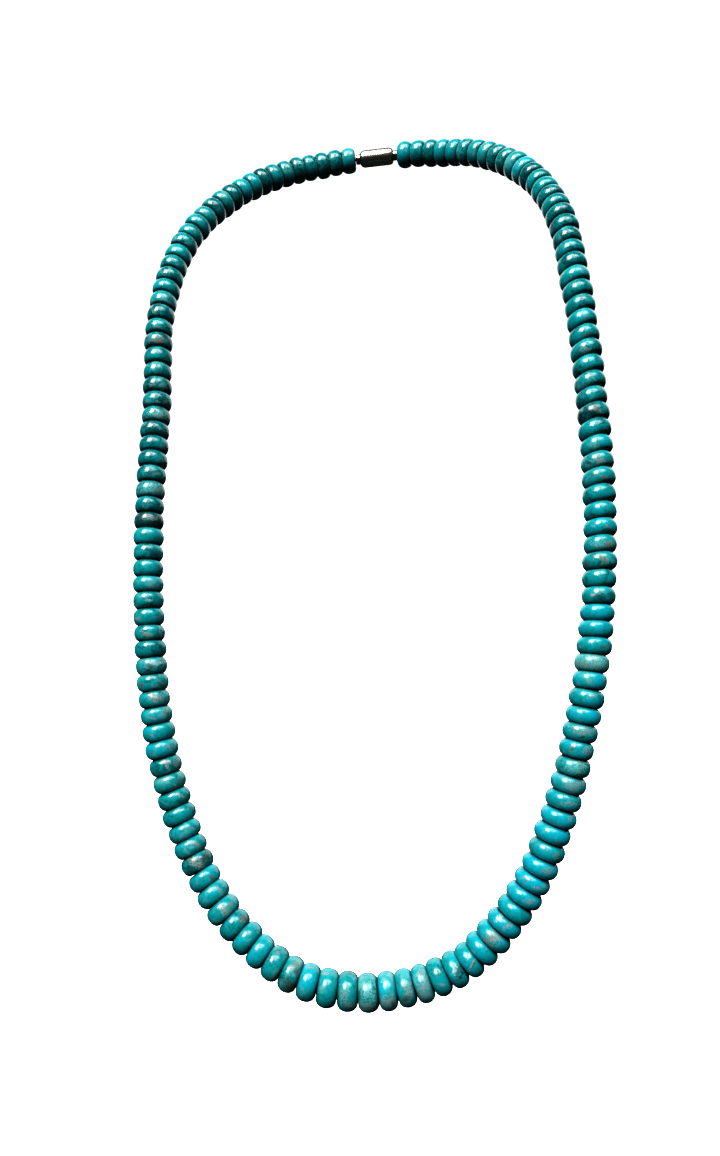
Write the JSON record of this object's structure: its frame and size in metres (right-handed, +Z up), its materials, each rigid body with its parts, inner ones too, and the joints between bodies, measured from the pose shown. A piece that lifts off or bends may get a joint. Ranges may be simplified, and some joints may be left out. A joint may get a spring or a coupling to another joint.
{
  "type": "beaded necklace",
  "caption": "Worn necklace: one long closed strand of polished turquoise rondelle beads, graded towards the front, with a plain barrel clasp at the nape.",
  "frame": {"origin": "the spot on the nape that carries the strand, in the middle of the back, on the neck's side of the beads", "axes": "+Z up, the wearer faces -Y, +X to the wearer's left"},
  "size_m": [0.1232, 0.1349, 0.211],
  "materials": {
    "turquoise": "polished, mottled blue-green with grey and brown matrix",
    "clasp_silver": "plain silver, lightly worn"
  },
  "bodies": {
    "root": {"string_left": "turquoise", "string_right": "turquoise", "clasp": "clasp_silver"}
  },
  "joints": []
}
